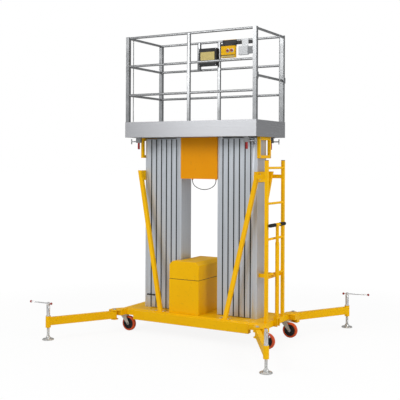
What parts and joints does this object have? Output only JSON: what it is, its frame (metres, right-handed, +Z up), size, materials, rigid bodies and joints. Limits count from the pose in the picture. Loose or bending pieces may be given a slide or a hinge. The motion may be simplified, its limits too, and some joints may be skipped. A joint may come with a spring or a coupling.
{
  "type": "twin-mast aluminium vertical lift",
  "caption": "Push-around vertical lift with two telescoping aluminium masts, a railed platform, swing-out outriggers with screw jacks, castors, a ladder and a tow handle",
  "frame": {"origin": "on the floor under the middle of the chassis, midway between the four outrigger pins", "axes": "+X along the long side towards the ladder end, +Y away from the operator's front side, +Z up"},
  "size_m": [2.9858, 2.5751, 3.224],
  "materials": {
    "yellow_paint": "satin powder coat",
    "aluminium_extrusion": "satin anodised",
    "stainless_sheet": "brushed",
    "zinc_tube": "bright zinc",
    "galvanised_steel": "galvanised",
    "red_polyurethane": "satin",
    "black_rubber": "matte",
    "grey_plastic": "matte",
    "dark_plastic": "matte"
  },
  "bodies": {
    "root": {"chassis_frame": "yellow_paint", "castor_plates": "galvanised_steel", "outrigger_lug_fr": "yellow_paint", "outrigger_lug_br": "yellow_paint", "outrigger_lug_fl": "yellow_paint", "outrigger_lug_bl": "yellow_paint", "outrigger_pins": "galvanised_steel", "mast_left_1": "aluminium_extrusion", "mast_right_1": "aluminium_extrusion", "mast_collars": "yellow_paint", "mast_braces": "yellow_paint", "ladder": "yellow_paint", "tow_bracket": "yellow_paint", "power_cabinet": "yellow_paint", "power_cabinet_lid": "yellow_paint"},
    "stage_2": {"mast_left_2": "aluminium_extrusion", "mast_right_2": "aluminium_extrusion"},
    "stage_3": {"mast_left_3": "aluminium_extrusion", "mast_right_3": "aluminium_extrusion"},
    "stage_4": {"mast_left_4": "aluminium_extrusion", "mast_right_4": "aluminium_extrusion"},
    "stage_5": {"mast_left_5": "aluminium_extrusion", "mast_right_5": "aluminium_extrusion"},
    "stage_6": {"mast_left_6": "aluminium_extrusion", "mast_right_6": "aluminium_extrusion"},
    "platform": {"mast_left_7": "aluminium_extrusion", "mast_right_7": "aluminium_extrusion", "deck_fascia": "stainless_sheet", "deck": "stainless_sheet", "lift_carriage": "yellow_paint", "deck_brackets": "yellow_paint", "guard_rail_front": "zinc_tube", "guard_rail_back": "zinc_tube", "guard_rail_ends": "zinc_tube", "control_box": "dark_plastic", "control_panel": "yellow_paint", "socket_box": "grey_plastic", "carriage_cable": "black_rubber"},
    "entry_bar": {"entry_bar": "zinc_tube"},
    "tow_handle": {"tow_handle": "yellow_paint"},
    "outrigger_fr": {"outrigger_arm_fr": "yellow_paint", "jack_bar_fr": "galvanised_steel"},
    "jack_fr": {"jack_foot_fr": "galvanised_steel"},
    "castor_fr": {"castor_fork_fr": "galvanised_steel"},
    "wheel_fr": {"castor_wheel_fr": "red_polyurethane"},
    "outrigger_br": {"outrigger_arm_br": "yellow_paint", "jack_bar_br": "galvanised_steel"},
    "jack_br": {"jack_foot_br": "galvanised_steel"},
    "castor_br": {"castor_fork_br": "galvanised_steel"},
    "wheel_br": {"castor_wheel_br": "red_polyurethane"},
    "outrigger_fl": {"outrigger_arm_fl": "yellow_paint", "jack_bar_fl": "galvanised_steel"},
    "jack_fl": {"jack_foot_fl": "galvanised_steel"},
    "castor_fl": {"castor_fork_fl": "galvanised_steel"},
    "wheel_fl": {"castor_wheel_fl": "red_polyurethane"},
    "outrigger_bl": {"outrigger_arm_bl": "yellow_paint", "jack_bar_bl": "galvanised_steel"},
    "jack_bl": {"jack_foot_bl": "galvanised_steel"},
    "castor_bl": {"castor_fork_bl": "galvanised_steel"},
    "wheel_bl": {"castor_wheel_bl": "red_polyurethane"}
  },
  "joints": [
    {"name": "lift_stage_2", "type": "slide", "parent": "root", "child": "stage_2", "axis": [0, 0, 1], "range_m": [0, 1.4]},
    {"name": "lift_stage_3", "type": "slide", "parent": "stage_2", "child": "stage_3", "axis": [0, 0, 1], "range_m": [0, 1.4]},
    {"name": "lift_stage_4", "type": "slide", "parent": "stage_3", "child": "stage_4", "axis": [0, 0, 1], "range_m": [0, 1.4]},
    {"name": "lift_stage_5", "type": "slide", "parent": "stage_4", "child": "stage_5", "axis": [0, 0, 1], "range_m": [0, 1.4]},
    {"name": "lift_stage_6", "type": "slide", "parent": "stage_5", "child": "stage_6", "axis": [0, 0, 1], "range_m": [0, 1.4]},
    {"name": "lift_platform", "type": "slide", "parent": "stage_6", "child": "platform", "axis": [0, 0, 1], "range_m": [0, 1.4]},
    {"name": "entry_bar_slide", "type": "slide", "parent": "platform", "child": "entry_bar", "axis": [0, 0, 1], "range_m": [0, 0.4]},
    {"name": "tow_handle_hinge", "type": "hinge", "parent": "root", "child": "tow_handle", "pos_m": [0.884, -0.035, 0.264], "axis": [0, 1, 0], "range_deg": [0, 85]},
    {"name": "outrigger_fr_swing", "type": "hinge", "parent": "root", "child": "outrigger_fr", "pos_m": [0.86, -0.45, 0.2], "axis": [0, 0, -1], "range_deg": [0, 100]},
    {"name": "jack_fr_screw", "type": "slide", "parent": "outrigger_fr", "child": "jack_fr", "axis": [0, 0, 1], "range_m": [-0.1, 0.08]},
    {"name": "castor_fr_swivel", "type": "hinge", "parent": "root", "child": "castor_fr", "pos_m": [0.835, -0.29, 0.17], "axis": [0, 0, 1], "continuous": true},
    {"name": "castor_fr_roll", "type": "hinge", "parent": "castor_fr", "child": "wheel_fr", "pos_m": [0.893, -0.29, 0.08], "axis": [0, 1, 0], "continuous": true},
    {"name": "outrigger_br_swing", "type": "hinge", "parent": "root", "child": "outrigger_br", "pos_m": [0.86, 0.45, 0.2], "axis": [0, 0, 1], "range_deg": [0, 100]},
    {"name": "jack_br_screw", "type": "slide", "parent": "outrigger_br", "child": "jack_br", "axis": [0, 0, 1], "range_m": [-0.1, 0.08]},
    {"name": "castor_br_swivel", "type": "hinge", "parent": "root", "child": "castor_br", "pos_m": [0.835, 0.29, 0.17], "axis": [0, 0, 1], "continuous": true},
    {"name": "castor_br_roll", "type": "hinge", "parent": "castor_br", "child": "wheel_br", "pos_m": [0.893, 0.29, 0.08], "axis": [0, 1, 0], "continuous": true},
    {"name": "outrigger_fl_swing", "type": "hinge", "parent": "root", "child": "outrigger_fl", "pos_m": [-0.86, -0.45, 0.2], "axis": [0, 0, 1], "range_deg": [0, 100]},
    {"name": "jack_fl_screw", "type": "slide", "parent": "outrigger_fl", "child": "jack_fl", "axis": [0, 0, 1], "range_m": [-0.1, 0.08]},
    {"name": "castor_fl_swivel", "type": "hinge", "parent": "root", "child": "castor_fl", "pos_m": [-0.835, -0.29, 0.17], "axis": [0, 0, 1], "continuous": true},
    {"name": "castor_fl_roll", "type": "hinge", "parent": "castor_fl", "child": "wheel_fl", "pos_m": [-0.777, -0.29, 0.08], "axis": [0, 1, 0], "continuous": true},
    {"name": "outrigger_bl_swing", "type": "hinge", "parent": "root", "child": "outrigger_bl", "pos_m": [-0.86, 0.45, 0.2], "axis": [0, 0, -1], "range_deg": [0, 100]},
    {"name": "jack_bl_screw", "type": "slide", "parent": "outrigger_bl", "child": "jack_bl", "axis": [0, 0, 1], "range_m": [-0.1, 0.08]},
    {"name": "castor_bl_swivel", "type": "hinge", "parent": "root", "child": "castor_bl", "pos_m": [-0.835, 0.29, 0.17], "axis": [0, 0, 1], "continuous": true},
    {"name": "castor_bl_roll", "type": "hinge", "parent": "castor_bl", "child": "wheel_bl", "pos_m": [-0.777, 0.29, 0.08], "axis": [0, 1, 0], "continuous": true}
  ],
  "couplings": [
    {"joint": "lift_stage_3", "follows": "lift_stage_2", "ratio": 1},
    {"joint": "lift_stage_4", "follows": "lift_stage_2", "ratio": 1},
    {"joint": "lift_stage_5", "follows": "lift_stage_2", "ratio": 1},
    {"joint": "lift_stage_6", "follows": "lift_stage_2", "ratio": 1},
    {"joint": "lift_platform", "follows": "lift_stage_2", "ratio": 1}
  ]
}
